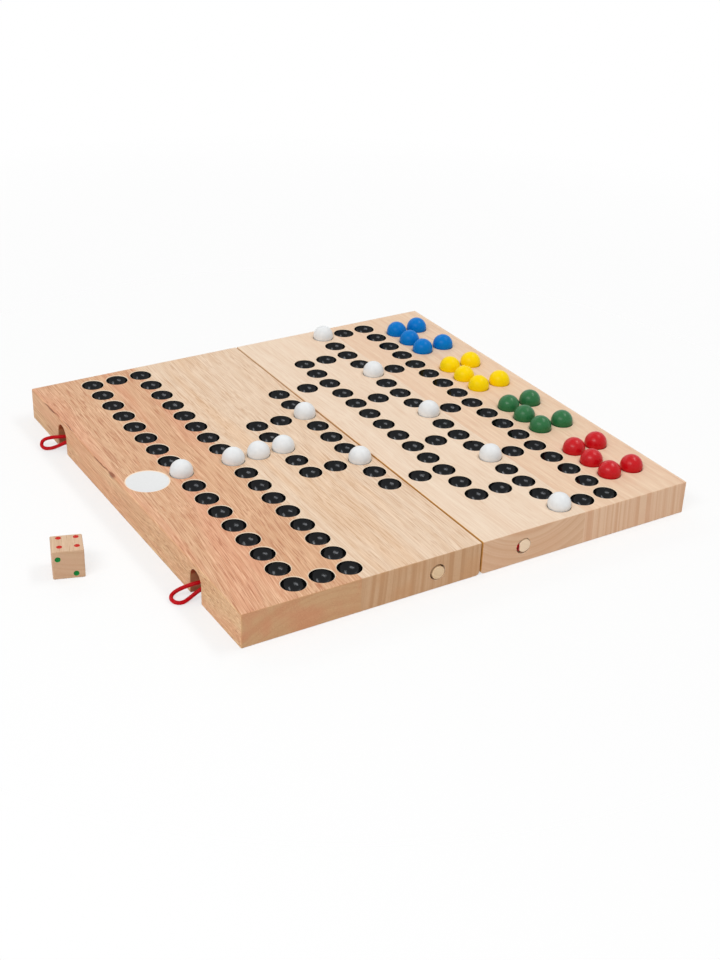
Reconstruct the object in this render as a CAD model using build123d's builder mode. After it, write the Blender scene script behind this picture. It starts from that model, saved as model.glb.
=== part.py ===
"""Folding barricade board game in solid wood, lying open with its pieces set out.

Two halves, each glued from two planks, carry a field of round dishes on top and a storage recess
underneath. Knotted elastics through drilled holes join the halves, so that the board folds underside to
underside; two elastic loops in notches of the left edge then hook over pegs on the right edge.

Millimetres. +Z is up, +Y points to the back, and the seam runs along Y. The origin lies on the table plane,
in the middle of the left half's hinge rail.
"""

import os
from math import radians, sqrt, tan

from build123d import *

os.makedirs("parts", exist_ok=True)

# Playing field: dishes on a square pitch, in columns along Y and rows along X
pitch = 16.0
columns = 17
front_margin = 12.0  # from the last column's dish centres to the front face
back_margin = 12.0
right_rows = 8
right_seam_margin = 10.7  # from the seam face to the nearest row
left_seam_margin = 8.7
right_outer_margin = 17.0
dish_radius = 6.75  # of the ball-nosed cutter
dish_depth = 5.3
goal_radius = 12.4
goal_depth = 0.8
goal_from_row = 20.4  # from the last row on the left to the goal's centre

# Planks
thickness = 19.7
seam_gap = 0.6
left_inner_width = 72.7
right_inner_width = 67.5
edge_ease = 0.6
seam_round = 2.5  # the lower edges at the seam, over which the halves roll

# Storage recess in each underside
recess_depth = 11.0
outer_wall = 16.0
hinge_rail = 16.0
end_wall = 26.0
recess_corner = 8.0

# Hinge elastics, their drilled holes and the plugs that close them
plug_dia = 8.0
plug_slack = 1.3  # by which the hole is wider than the plug
plug_from_seam = 27.0
plug_hole_web = 4.0  # wood between the plug hole and the recess
plug_chamfer = 0.4
hinge_cord_dia = 2.2
hinge_hole_dia = 3.2
hinge_cord_inset = 14.0  # from the front or back face
hinge_knot_dia = 5.0

# Closure loops in their notches, and the pegs that they hook over
closure_y = 90.4
notch_width = 13.0
notch_height = 16.8
notch_depth = 10.0
loop_dia = 2.2
loop_hole_dia = 5.0
loop_hole_z = 7.4
strand_spacing = 2.5  # between the two strands in their hole
loop_knot_dia = 6.4
peg_shank_dia = 5.0
peg_head_dia = 9.0
peg_head_height = 3.0
peg_head_round = 1.2
peg_reach = 6.5  # from the edge to the end of the head
peg_depth = 9.0
peg_z = 8.0

# Loose pieces
ball_dia = 13.0
die_side = 16.5
die_ease = 0.9
die_turn = -17.7
die_from_edge = 46.1  # from the board's left edge to the die's centre
die_y = -35.2
pip_radius = 1.6
pip_depth = 0.7
pip_taper = 40.0  # of the pip's wall, in degrees
pip_spread = 4.5

# Clearances
fit_clearance = 0.05
seat_clearance = 0.2
plug_end_clearance = 0.3

# Places worked out from the sizes
left_seam_x = hinge_rail / 2
right_seam_x = left_seam_x + seam_gap
half_width = right_seam_margin + (right_rows - 1) * pitch + right_outer_margin
left_edge_x = left_seam_x - half_width
right_edge_x = right_seam_x + half_width
left_joint_x = left_seam_x - left_inner_width
right_joint_x = right_seam_x + right_inner_width
board_depth = front_margin + (columns - 1) * pitch + back_margin
face_y = board_depth / 2
mid_z = thickness / 2
dish_centre_z = thickness - dish_depth + dish_radius
dish_rim = sqrt(dish_radius**2 - (dish_radius - dish_depth) ** 2)
ball_z = thickness - dish_depth + seat_clearance + ball_dia / 2
plug_hole_dia = plug_dia + plug_slack
plug_play = plug_slack / 2 - fit_clearance
plug_length = hinge_cord_inset - hinge_knot_dia / 2 - plug_end_clearance
tail_dia = plug_slack - 3 * fit_clearance
ends = {"front": -1, "back": 1}

# Row numbers grow to the left: 5 is the last row right of the seam, and -2 and -1 are the houses
last_right_row = right_rows - 3
last_left_row = 12
track_rows = {
    0: range(columns),
    1: range(0, columns, 4),
    2: range(columns),
    3: range(2, columns, 4),
    4: range(2, 15),
    5: (4, 12),
    6: range(4, 13),
    7: (6, 10),
    8: range(6, 11),
    9: (8,),
    10: range(columns),
    11: (0, 16),
    last_left_row: range(columns),
}
houses = {"blue": 2, "yellow": 6, "green": 10, "red": 14}  # colour and middle column
white_places = [(2, column) for column in range(0, columns, 4)]
white_places += [(6, 6), (6, 10), (8, 8), (9, 8), (10, 8), (12, 8)]


def house_places(middle):
    """The five dishes of a house: three in row -1 and two in row -2."""
    return [(-1, middle - 1), (-1, middle), (-1, middle + 1), (-2, middle - 1), (-2, middle + 1)]


def dish_x(row):
    if row <= last_right_row:
        return right_seam_x + right_seam_margin + (last_right_row - row) * pitch
    return left_seam_x - left_seam_margin - (row - last_right_row - 1) * pitch


def dish_y(column):
    return face_y - back_margin - column * pitch


dishes = [(row, column) for row, filled in track_rows.items() for column in filled]
for middle_column in houses.values():
    dishes += house_places(middle_column)


def keep(piece, name):
    """Label a finished piece and write its file."""
    piece.label = name
    export_step(piece, f"parts/{name}.step")


def sphere_radius(rim, depth):
    """The radius of the sphere whose cap is this wide and deep."""
    return (rim**2 + depth**2) / (2 * depth)


# Planks


def board(plank, joint_x, free_x, at_seam):
    """The board from its glue joint to its free long side, with all but the glued edges eased."""
    with BuildSketch(Plane.XZ) as end_view:
        with Locations(((joint_x + free_x) / 2, mid_z)):
            Rectangle(abs(free_x - joint_x), thickness)
        if at_seam:
            side = vertices().filter_by_position(Axis.X, free_x - fit_clearance, free_x + fit_clearance)
            fillet(side.sort_by(Axis.Y)[0], seam_round)
    extrude(end_view.sketch, amount=face_y, both=True)
    long_edges = plank.edges().filter_by(Axis.Y)
    eased = long_edges.filter_by_position(Axis.X, free_x - fit_clearance, free_x + fit_clearance)
    if at_seam:
        eased = eased.sort_by(Axis.Z)[-1:]
    by_depth = plank.edges().group_by(Axis.Y)
    end_edges = by_depth[0] + by_depth[-1]
    eased += [edge for edge in end_edges if abs(edge.center().X - joint_x) > fit_clearance]
    fillet(eased, edge_ease)


def cut_recess(edge_x, seam_x):
    """The half's storage recess, of which each plank takes its own share."""
    inward = 1 if seam_x > edge_x else -1
    outer_x = edge_x + inward * outer_wall
    inner_x = seam_x - inward * hinge_rail
    with BuildSketch() as outline:
        with Locations(((outer_x + inner_x) / 2, 0)):
            RectangleRounded(abs(inner_x - outer_x), board_depth - 2 * end_wall, recess_corner)
    extrude(outline.sketch, amount=recess_depth, mode=Mode.SUBTRACT)


def cut_dishes(low_x, high_x):
    """The round-bottomed dishes that reach into the strip between two X values."""
    centres = [(dish_x(row), dish_y(column), dish_centre_z) for row, column in dishes]
    with Locations(*[centre for centre in centres if low_x - dish_rim < centre[0] < high_x + dish_rim]):
        Sphere(dish_radius, mode=Mode.SUBTRACT)


def drill_for_hinge(seam_x, away):
    """A plug hole in each end face, met by the elastic's hole from the seam."""
    for end in ends.values():
        with BuildSketch(Plane.XZ.offset(-end * face_y)) as plug_hole:
            with Locations((seam_x + away * plug_from_seam, mid_z)):
                Circle(plug_hole_dia / 2)
        extrude(plug_hole.sketch, amount=end * (end_wall - plug_hole_web), mode=Mode.SUBTRACT)
        with BuildSketch(Plane.YZ.offset(seam_x)) as cord_hole:
            with Locations((end * (face_y - hinge_cord_inset), mid_z)):
                Circle(hinge_hole_dia / 2)
        extrude(cord_hole.sketch, amount=away * plug_from_seam, mode=Mode.SUBTRACT)


def cut_notches():
    """A round-topped notch for each closure loop, with the loop's hole on into the recess."""
    arch_z = notch_height - notch_width / 2
    for end in ends.values():
        with BuildSketch(Plane.YZ.offset(left_edge_x)) as arch:
            with Locations((end * closure_y, arch_z)):
                Circle(notch_width / 2)
            with Locations((end * closure_y, arch_z / 2)):
                Rectangle(notch_width, arch_z)
        extrude(arch.sketch, amount=notch_depth, mode=Mode.SUBTRACT)
        with BuildSketch(Plane.YZ.offset(left_edge_x)) as loop_hole:
            with Locations((end * closure_y, loop_hole_z)):
                Circle(loop_hole_dia / 2)
        extrude(loop_hole.sketch, amount=outer_wall + fit_clearance, mode=Mode.SUBTRACT)


def cut_goal():
    """The wide, shallow goal beside the last row."""
    radius = sphere_radius(goal_radius, goal_depth)
    goal = (dish_x(last_left_row) - goal_from_row, dish_y(columns // 2), thickness - goal_depth + radius)
    with Locations(goal):
        Sphere(radius, mode=Mode.SUBTRACT)


def drill_for_pegs():
    for end in ends.values():
        with BuildSketch(Plane.YZ.offset(right_edge_x)) as peg_hole:
            with Locations((end * closure_y, peg_z)):
                Circle(peg_shank_dia / 2 + fit_clearance)
        extrude(peg_hole.sketch, amount=-peg_depth, mode=Mode.SUBTRACT)


with BuildPart() as left_outer_plank:
    board(left_outer_plank, left_joint_x, left_edge_x, at_seam=False)
    cut_recess(left_edge_x, left_seam_x)
    cut_dishes(left_edge_x, left_joint_x)
    cut_notches()
    cut_goal()
keep(left_outer_plank.part, "left_outer_plank")

with BuildPart() as left_inner_plank:
    board(left_inner_plank, left_joint_x, left_seam_x, at_seam=True)
    cut_recess(left_edge_x, left_seam_x)
    cut_dishes(left_joint_x, left_seam_x)
    drill_for_hinge(left_seam_x, away=-1)
keep(left_inner_plank.part, "left_inner_plank")

with BuildPart() as right_inner_plank:
    board(right_inner_plank, right_joint_x, right_seam_x, at_seam=True)
    cut_recess(right_edge_x, right_seam_x)
    cut_dishes(right_seam_x, right_joint_x)
    drill_for_hinge(right_seam_x, away=1)
keep(right_inner_plank.part, "right_inner_plank")

with BuildPart() as right_outer_plank:
    board(right_outer_plank, right_joint_x, right_edge_x, at_seam=False)
    cut_recess(right_edge_x, right_seam_x)
    cut_dishes(right_joint_x, right_edge_x)
    drill_for_pegs()
keep(right_outer_plank.part, "right_outer_plank")

# Dowel plugs, each pushed against one side of its hole, which leaves a crescent open on the other
plug_shift = plug_play / sqrt(2)
plug_places = {
    "left": (left_seam_x - plug_from_seam + plug_shift, mid_z - plug_shift),
    "right": (right_seam_x + plug_from_seam + plug_play, mid_z),
}
for end_name, end in ends.items():
    for side_name, place in plug_places.items():
        with BuildPart() as plug:
            with BuildSketch(Plane.XZ.offset(-end * face_y)):
                with Locations(place):
                    Circle(plug_dia / 2)
            extrude(amount=end * plug_length)
            chamfer(plug.edges().filter_by(GeomType.CIRCLE), plug_chamfer)
        keep(plug.part, f"plug_{end_name}_{side_name}")

# Hinge elastics: knotted in the plug holes, with a tail pinched beside the right plug
knot_x = plug_from_seam - (plug_hole_dia - hinge_knot_dia) / 2 + fit_clearance
tail_x = right_seam_x + plug_from_seam - (plug_hole_dia - tail_dia) / 2 + fit_clearance
for end_name, end in ends.items():
    cord_y = end * (face_y - hinge_cord_inset)
    with BuildPart() as hinge_cord:
        with BuildSketch(Plane.YZ.offset(left_seam_x - knot_x)):
            with Locations((cord_y, mid_z)):
                Circle(hinge_cord_dia / 2)
        extrude(amount=2 * knot_x + seam_gap)
        with Locations((left_seam_x - knot_x, cord_y, mid_z), (right_seam_x + knot_x, cord_y, mid_z)):
            Sphere(hinge_knot_dia / 2)
        with BuildSketch(Plane.XZ.offset(-cord_y)):
            with Locations((tail_x, mid_z)):
                Circle(tail_dia / 2)
        extrude(amount=-end * (hinge_cord_inset - seat_clearance))
    keep(hinge_cord.part, f"hinge_elastic_{end_name}")

# Closure loops: both strands leave the knot in the recess through one hole, cross the notch and lie in a
# loop on the table. Each point is its distance out of the board's edge, its place along Y and its height.
strand_y = strand_spacing / 2
knot_seat = sqrt((loop_knot_dia / 2) ** 2 - (loop_hole_dia / 2) ** 2)
strand_start = -(outer_wall + knot_seat / 3)
strand_turn = -(notch_depth - seat_clearance)
loop_routes = {
    "front": [
        (-1.5, 2.2, 7.8),
        (2.6, 3.9, 6.4),
        (6.6, 6.6, 3.8),
        (10.4, 6.8, 1.8),
        (12.1, 3.6, 1.2),
        (11.3, -0.2, 1.2),
        (8.2, -1.9, 1.2),
        (4.4, -1.1, 2.0),
        (0.6, -0.6, 3.8),
        (-3.4, -1.5, 6.4),
    ],
    "back": [
        (-0.8, 2.9, 7.8),
        (4.5, 7.4, 6.6),
        (8.4, 10.3, 4.6),
        (10.4, 8.9, 2.4),
        (9.9, 5.6, 1.3),
        (6.5, 3.8, 1.2),
        (2.4, 2.5, 2.4),
        (-2.0, -1.0, 5.8),
    ],
}
for end_name, end in ends.items():
    route = [(strand_start, strand_y, loop_hole_z), (strand_turn, strand_y, loop_hole_z)]
    route += loop_routes[end_name]
    route += [(strand_turn, -strand_y, loop_hole_z), (strand_start, -strand_y, loop_hole_z)]
    points = [Vector(left_edge_x - out, end * closure_y + along, up) for out, along, up in route]
    runs = [after - before for before, after in zip(points, points[1:])]
    turns = [before.get_angle(after) for before, after in zip(runs, runs[1:])]
    radii = [
        0.45 * min(before.length, after.length) / tan(radians(turn) / 2)
        for before, after, turn in zip(runs, runs[1:], turns)
    ]
    print(f"loop_{end_name} radii", [round(radius, 1) for radius in radii])
    with BuildPart() as loop:
        with BuildLine() as line:
            FilletPolyline(*points, radius=radii)
        with BuildSketch(Plane(origin=line.line @ 0, z_dir=line.line % 0)) as section:
            Circle(loop_dia / 2)
        sweep()
    length = line.wires()[0].length
    exact = section.sketch.area * length
    print(f"loop_{end_name} length {length:.1f}, volume {loop.part.volume:.1f} of {exact:.1f}")
    keep(loop.part, f"loop_{end_name}")
    with BuildPart() as loop_knot:
        with Locations((left_edge_x + outer_wall + knot_seat, end * closure_y, loop_hole_z)):
            Sphere(loop_knot_dia / 2)
    keep(loop_knot.part, f"loop_knot_{end_name}")

# Closure pegs: turned, glued into the right edge
for end_name, end in ends.items():
    peg_origin = (right_edge_x, end * closure_y, peg_z)
    with BuildPart() as peg:
        with BuildSketch(Plane(origin=peg_origin, x_dir=(1, 0, 0), z_dir=(0, -1, 0))):
            with Locations((fit_clearance - peg_depth, 0)):
                Rectangle(peg_reach + peg_depth, peg_shank_dia / 2, align=(Align.MIN, Align.MIN))
            with Locations((peg_reach - peg_head_height, 0)):
                Rectangle(peg_head_height, peg_head_dia / 2, align=(Align.MIN, Align.MIN))
            fillet(vertices().group_by(Axis.Y)[-1], peg_head_round)
        revolve(axis=Axis(peg_origin, (1, 0, 0)))
    keep(peg.part, f"peg_{end_name}")

# Balls, each in its dish
ball_sets = {"white": white_places}
for colour, middle_column in houses.items():
    ball_sets[colour] = house_places(middle_column)
for colour, ball_places in ball_sets.items():
    for number, (row, column) in enumerate(ball_places, start=1):
        with BuildPart() as ball:
            with Locations((dish_x(row), dish_y(column), ball_z)):
                Sphere(ball_dia / 2)
        keep(ball.part, f"ball_{colour}_{number}")

# Die with drilled pips: opposite faces add up to seven. Each face has its outward normal and its right.
die_faces = {
    1: ((1, 0, 0), (0, 1, 0)),
    2: ((0, -1, 0), (1, 0, 0)),
    3: ((0, 0, -1), (1, 0, 0)),
    4: ((0, 0, 1), (1, 0, 0)),
    5: ((0, 1, 0), (-1, 0, 0)),
    6: ((-1, 0, 0), (0, -1, 0)),
}
corner_pips = [(-1, -1), (-1, 1), (1, -1), (1, 1)]
pip_layouts = {
    1: [(0, 0)],
    2: [(-1, 1), (1, -1)],
    3: [(-1, 1), (0, 0), (1, -1)],
    4: corner_pips,
    5: corner_pips + [(0, 0)],
    6: corner_pips + [(-1, 0), (1, 0)],
}
pip_drift = {2: (-0.8, -0.9), 4: (0.5, 0.9)}  # faces whose pips sit off centre
die_plane = Plane(origin=(left_edge_x - die_from_edge, die_y, die_side / 2)).rotated((0, 0, die_turn))
with BuildPart(die_plane) as die:
    Box(die_side, die_side, die_side)
    fillet(die.edges(), die_ease)
    for number, (normal, right) in die_faces.items():
        outward = Vector(*normal) * (die_side / 2)
        face_plane = Plane(
            origin=die_plane.from_local_coords(outward),
            x_dir=die_plane.from_local_coords(Vector(*right)) - die_plane.origin,
            z_dir=die_plane.from_local_coords(outward) - die_plane.origin,
        )
        drift_across, drift_up = pip_drift.get(number, (0, 0))
        layout = [(x * pip_spread + drift_across, y * pip_spread + drift_up) for x, y in pip_layouts[number]]
        with BuildSketch(face_plane):
            with Locations(*layout):
                Circle(pip_radius)
        extrude(amount=-pip_depth, taper=pip_taper, mode=Mode.SUBTRACT)
keep(die.part, "die")
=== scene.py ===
"""Folding barricade board game: wood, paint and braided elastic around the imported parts.

Metres. +Z is up, +Y points to the back, and the seam between the two halves runs along Y.
"""

from math import cos, pi, radians, sin, sqrt

import bmesh
import bpy
from bpy.props import FloatProperty, FloatVectorProperty, IntProperty, PointerProperty
from mathutils import Matrix, Vector


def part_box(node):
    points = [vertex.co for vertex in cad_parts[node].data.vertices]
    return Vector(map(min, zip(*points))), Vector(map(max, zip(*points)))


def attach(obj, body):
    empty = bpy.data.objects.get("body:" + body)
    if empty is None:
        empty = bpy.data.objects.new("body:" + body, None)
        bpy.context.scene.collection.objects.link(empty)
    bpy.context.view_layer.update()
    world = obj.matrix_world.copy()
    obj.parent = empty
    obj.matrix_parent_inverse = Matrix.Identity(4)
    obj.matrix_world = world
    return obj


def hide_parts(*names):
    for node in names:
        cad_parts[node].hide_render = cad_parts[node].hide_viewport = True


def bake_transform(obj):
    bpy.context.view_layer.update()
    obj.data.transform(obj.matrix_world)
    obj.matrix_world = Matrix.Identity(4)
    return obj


bl_info = {
    "name": "Barricade Board Game",
    "version": (1, 0, 0),
    "blender": (4, 5, 0),
    "location": "View3D > Sidebar > Board Game",
    "description": "Finishes a folding wooden board game with its balls, die and elastics, and lights it",
    "category": "Object",
}

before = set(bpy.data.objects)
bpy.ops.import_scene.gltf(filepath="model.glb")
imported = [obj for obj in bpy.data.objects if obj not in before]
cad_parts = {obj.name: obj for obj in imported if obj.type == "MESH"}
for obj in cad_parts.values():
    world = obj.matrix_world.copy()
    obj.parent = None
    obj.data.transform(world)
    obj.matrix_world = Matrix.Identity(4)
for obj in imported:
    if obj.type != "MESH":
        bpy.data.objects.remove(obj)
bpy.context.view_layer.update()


def srgb(red, green, blue):
    """A colour given as 0 to 255 on a screen, in the linear values that shaders take."""
    return tuple((c / 255) ** 2.2 for c in (red, green, blue))


def toned(colour, tone):
    """A colour multiplied by another one."""
    return tuple(c * t for c, t in zip(colour, tone))


def dimmed(colour, share):
    return tuple(c * share for c in colour)


def centre(node):
    low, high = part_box(node)
    return (low + high) / 2


# Places read from the frame: the pitch of the field, its first row and column, and the boards' edges
first_ball, last_ball = centre("ball_white_1"), centre("ball_white_5")
left_ball = centre("ball_white_6")
COLUMNS = 17
PITCH = (first_ball.y - last_ball.y) / (COLUMNS - 1)
BOARD_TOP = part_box("right_inner_plank")[1].z
LEFT_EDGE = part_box("left_outer_plank")[0].x
LEFT_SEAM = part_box("left_inner_plank")[1].x
RIGHT_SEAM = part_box("right_inner_plank")[0].x

# The rows grow to the left: 5 is the last one right of the seam, and -2 and -1 are the houses
LAST_RIGHT_ROW, LAST_ROW = 5, 12
BALL_ROW, LEFT_BALL_ROW = 2, 6
FULL = range(COLUMNS)
TRACK_ROWS = {
    0: FULL, 1: range(0, COLUMNS, 4), 2: FULL, 3: range(2, COLUMNS, 4), 4: range(2, 15), 5: (4, 12),
    6: range(4, 13), 7: (6, 10), 8: range(6, 11), 9: (8,), 10: FULL, 11: (0, 16), 12: FULL,
}
HOUSES = {"blue": 2, "yellow": 6, "green": 10, "red": 14}


def dish_x(row):
    if row <= LAST_RIGHT_ROW:
        return first_ball.x + (BALL_ROW - row) * PITCH
    return left_ball.x - (row - LEFT_BALL_ROW) * PITCH


def dish_y(column):
    return first_ball.y - column * PITCH


def house_places(middle):
    return [(-1, middle - 1), (-1, middle), (-1, middle + 1), (-2, middle - 1), (-2, middle + 1)]


TRACK_PLACES = [(row, column) for row, filled in TRACK_ROWS.items() for column in filled]
GOAL_FROM_ROW = 0.0204
GOAL = (dish_x(LAST_ROW) - GOAL_FROM_ROW, dish_y(COLUMNS // 2))

# Facets of the cutters for the dishes, the goal and the pips, and how far a cutter stands over the board
CUTTER_SEGMENTS, CUTTER_RINGS = 56, 36
CUTTER_LIFT = 0.0001

# The middle of each closure notch, as far from the board's middle as the knot of its loop
NOTCH_Y = centre("loop_knot_back").y

# Dark knot streaks on the reddish board: x, y, turn from +Y, length and width
KNOTS = (
    (-0.1315, 0.1080, 0.03, 0.032, 0.0012),
    (-0.1308, 0.0820, -0.01, 0.022, 0.0010),
    (-0.1318, 0.0330, 0.05, 0.044, 0.0010),
    (-0.1314, 0.0160, -0.05, 0.011, 0.0028),
)


def length(name, description, default, precision=4):
    """A setting that is a length in metres."""
    return FloatProperty(
        name=name, description=description, default=default, unit="LENGTH", precision=precision
    )


def hue(name, description, *default):
    """A setting that is a colour, whose default is given as 0 to 255 on a screen."""
    return FloatVectorProperty(
        name=name, description=description, default=srgb(*default), subtype="COLOR"
    )


class BoardSettings(bpy.types.PropertyGroup):
    dish_radius: length("Dish radius", "Radius of the ball-nosed cutter that makes the dishes", 0.00685)
    dish_depth: length("Dish depth", "Depth of a dish under the top of the board", 0.0054)
    rim_ease: length("Rim ease", "Width of the sanded, unpainted rim round each dish", 0.0003, 5)
    goal_radius: length("Goal radius", "Radius of the white goal at the top of the board", 0.0125)
    goal_depth: length("Goal depth", "Depth of the white goal", 0.00085, 5)
    goal_paint_radius: length("Goal paint radius", "Radius to which the goal is painted", 0.0119)
    reddish: hue("Reddish board", "Colour of the board along the left edge", 218, 176, 139)
    pale: hue("Pale boards", "Colour of the three other boards", 236, 213, 189)
    dish_paint: hue("Dish paint", "Colour of the painted dishes of the track", 5, 5, 6)
    goal_paint: hue("Goal paint", "Colour of the painted goal", 227, 228, 228)


class PieceSettings(bpy.types.PropertyGroup):
    white: hue("White", "Paint of the barricade balls", 233, 235, 236)
    blue: hue("Blue", "Paint of the blue player's balls", 2, 118, 200)
    yellow: hue("Yellow", "Paint of the yellow player's balls", 255, 218, 0)
    green: hue("Green", "Paint of the green player's balls", 46, 109, 65)
    red: hue("Red", "Paint of the red player's balls", 199, 20, 30)
    dowel_radius: length("Dowel radius", "Radius of a dowel plug", 0.0038)
    dowel_ease: length("Dowel ease", "Rounding of a dowel plug's ends", 0.0005)
    die_wood: hue("Die wood", "Colour of the bare wooden die", 214, 183, 152)
    die_ease: length("Die ease", "Radius on the edges of the die", 0.0007)
    die_turn: FloatProperty(
        name="Die turn", description="Turn of the die on the table", default=radians(-17.7),
        unit="ROTATION",
    )
    pip_radius: length("Pip radius", "Radius of a pip at the die's face", 0.0015)
    pip_depth: length("Pip depth", "Depth of a drilled pip", 0.0007)
    pip_spread: length("Pip spread", "From the middle of a face to its pips", 0.0045)


class ElasticSettings(bpy.types.PropertyGroup):
    diameter: length("Diameter", "Diameter of the braided elastic", 0.0022)
    carriers: IntProperty(
        name="Carriers", description="Yarns that run each way round the braid", default=8, min=4, max=24
    )
    lay: length("Lay", "Length in which a yarn goes once round", 0.0062)
    relief: length("Relief", "Height of a yarn over its neighbours", 0.00022, 5)
    colour: hue("Colour", "Colour of the elastic", 228, 3, 26)


class StudioSettings(bpy.types.PropertyGroup):
    camera_place: FloatVectorProperty(
        name="Camera place", description="Where the camera stands",
        default=(-0.39783, -0.66381, 0.41613), subtype="TRANSLATION",
    )
    camera_turn: FloatVectorProperty(
        name="Camera turn", description="Euler angles of the camera",
        default=(1.068283, -0.033307, -0.543595), subtype="EULER",
    )
    lens: FloatProperty(
        name="Lens", description="Focal length for a 36 mm long side", default=55.837, unit="CAMERA"
    )
    sky: FloatProperty(
        name="Sky", description="Strength of the even light from all round", default=0.45
    )


class Nodes:
    """A node tree: most methods add a node and give back its output socket."""

    def __init__(self, tree):
        self.tree = tree

    def add(self, kind, **settings):
        node = self.tree.nodes.new(kind)
        for label, value in settings.items():
            setattr(node, label, value)
        return node

    def feed(self, socket, value):
        """Give a socket another node's output, or a value of its own."""
        if isinstance(value, bpy.types.NodeSocket):
            self.tree.links.new(value, socket)
        elif socket.type == "RGBA" and len(value) == 3:
            socket.default_value = (*value, 1)
        else:
            socket.default_value = value

    def fed(self, kind, *items, out=0, **settings):
        """A node whose first inputs take the items."""
        node = self.add(kind, **settings)
        for socket, item in zip(node.inputs, items):
            self.feed(socket, item)
        return node.outputs[out]

    def named(self, kind, settings=None, out=0, **items):
        """A node whose inputs take the items by name, with underscores for spaces."""
        node = self.add(kind, **(settings or {}))
        for label, item in items.items():
            self.feed(node.inputs[label.replace("_", " ")], item)
        return node.outputs[out]

    def math(self, operation, first, second=0.5, clamp=False):
        return self.fed("ShaderNodeMath", first, second, operation=operation, use_clamp=clamp)

    def times(self, first, second):
        return self.math("MULTIPLY", first, second)

    def vector(self, operation, *items, out=0):
        return self.fed("ShaderNodeVectorMath", *items, out=out, operation=operation)

    def split(self, vector):
        node = self.add("ShaderNodeSeparateXYZ")
        self.feed(node.inputs[0], vector)
        return node.outputs

    def span(self, value, low, high, to_low=0.0, to_high=1.0, kind="SMOOTHSTEP"):
        return self.fed("ShaderNodeMapRange", value, low, high, to_low, to_high, interpolation_type=kind)

    def backdrop_rays(self):
        """1 for what the camera sees, straight or in gloss or glass, and 0 for light."""
        path = self.add("ShaderNodeLightPath").outputs
        both = self.math("ADD", path["Is Camera Ray"], path["Is Glossy Ray"])
        return self.math("ADD", both, path["Is Transmission Ray"], clamp=True)


class Finish(Nodes):
    """A material whose pattern lies in the piece's own place."""

    def __init__(self, name, **shader):
        self.material = bpy.data.materials.new(name)
        self.material.use_nodes = True
        super().__init__(self.material.node_tree)
        self.bsdf = self.tree.nodes["Principled BSDF"]
        for label, value in shader.items():
            self.set(label.replace("_", " ").title().replace("Ior", "IOR"), value)
        where = self.add("ShaderNodeTexCoord")
        self.place, self.normal = where.outputs["Object"], where.outputs["Normal"]

    def set(self, label, value):
        self.feed(self.bsdf.inputs[label], value)

    def mapped(self, vector, scale=(1, 1, 1), move=(0, 0, 0), turn=(0, 0, 0), kind="POINT"):
        return self.fed("ShaderNodeMapping", vector, move, turn, scale, vector_type=kind)

    def noise(self, where, scale=1.0, detail=2.0, rough=0.5, out="Fac", kind="3D"):
        """Noise with one scale, or with one for each axis."""
        if isinstance(scale, tuple):
            where, scale = self.mapped(where, scale), 1.0
        values = {"W" if kind == "1D" else "Vector": where, "Scale": scale, "Detail": detail}
        return self.named(
            "ShaderNodeTexNoise", {"noise_dimensions": kind}, out, Roughness=rough, **values
        )

    def rings(self, vector, spacing):
        """Growth rings round the Y axis, irregular in width and tone and about a spacing apart."""
        away = self.vector("LENGTH", self.vector("MULTIPLY", vector, (1, 0, 1)), out="Value")
        bands = self.noise(self.math("DIVIDE", away, spacing), 1.0, 3.0, 0.7, kind="1D")
        return self.span(bands, 0.38, 0.66)

    def mix(self, factor, first, second, blend="MIX"):
        node = self.add("ShaderNodeMix", data_type="RGBA", blend_type=blend)
        for index, item in ((0, factor), (6, first), (7, second)):
            self.feed(node.inputs[index], item)
        return node.outputs[2]

    def toned_where(self, strength, colour, tone):
        """The colour multiplied by a tone where the strength is 1: the tone of the cut ends, and painted
        light and shade.
        """
        return self.mix(strength, colour, self.mix(1.0, colour, tone, "MULTIPLY"))

    def shifted(self, vector, amount, scale):
        """The vector pushed about by a slow noise, by up to half the amount each way."""
        push = self.vector("SUBTRACT", self.noise(vector, scale, 1.0, out="Color"), (0.5, 0.5, 0.5))
        return self.vector("MULTIPLY_ADD", push, amount, vector)

    def leaning(self, vector, slope, bow):
        """The vector moved along X, so that lines along Y lean by a slope that changes with Y."""
        x, y, z = self.split(vector)
        lean = self.times(self.math("ADD", self.times(y, bow), slope), y)
        return self.fed("ShaderNodeCombineXYZ", self.math("SUBTRACT", x, lean), y, z)

    def inside(self, middle, size):
        """1 inside a box and 0 outside it, with a narrow soft border."""
        box = self.mapped(self.place, tuple(s / 2 for s in size), middle, kind="TEXTURE")
        x, y, z = self.split(self.vector("ABSOLUTE", box))
        return self.span(self.math("MAXIMUM", self.math("MAXIMUM", x, y), z), 1.0, 0.94)

    def seam_shade_mask(self, seam_x):
        """Painted shade in the gap at the seam: 1 on the outer few millimetres of the faces that meet at
        the seam, and less at the back.
        """
        x, y, z = self.split(self.place)
        away = self.math("ABSOLUTE", self.math("SUBTRACT", x, seam_x), 0.0)
        near_seam = self.span(away, 0.0007, 0.00066)
        near_top = self.span(z, BOARD_TOP - 0.005, BOARD_TOP - 0.001)
        near_end = self.span(self.math("ABSOLUTE", y, 0.0), 0.135, 0.139)
        uneven = self.span(y, -0.06, 0.12, 1.0, 0.5)
        edge = self.times(self.math("MAXIMUM", near_top, near_end), near_seam)
        return self.times(edge, uneven)

    def done(self, colour, rough, height, distance, strength):
        """The material with its colour, its roughness where it varies, and its relief."""
        self.set("Base Color", colour)
        if rough is not None:
            self.set("Roughness", rough)
        self.set("Normal", self.named(
            "ShaderNodeBump", Height=height, Distance=distance, Strength=strength
        ))
        return self.material


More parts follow.
